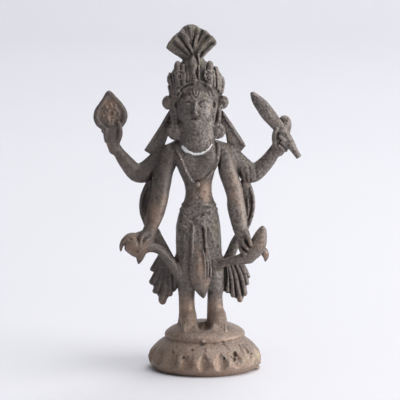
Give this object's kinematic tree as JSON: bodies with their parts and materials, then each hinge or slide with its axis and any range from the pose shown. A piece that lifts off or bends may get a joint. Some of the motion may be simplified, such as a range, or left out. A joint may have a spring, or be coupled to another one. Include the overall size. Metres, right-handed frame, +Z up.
{
  "type": "four-armed standing deity figure on lotus plinth",
  "caption": "Small cast bronze standing figure of a crowned four-armed deity holding emblems, on a round lotus plinth cast with it; stands on its flat underside.",
  "frame": {"origin": "centre of the plinth's flat underside", "axes": "+Z up the figure from underside to fan crest, -Y the way the figure faces, +X the viewer's right"},
  "size_m": [0.0721, 0.0382, 0.1198],
  "materials": {
    "bronze": "dull dark brown patina of cast copper alloy, dusty grey on upper faces, warmer brown on the plinth"
  },
  "bodies": {
    "root": {"shiva_figure": "bronze"}
  },
  "joints": []
}
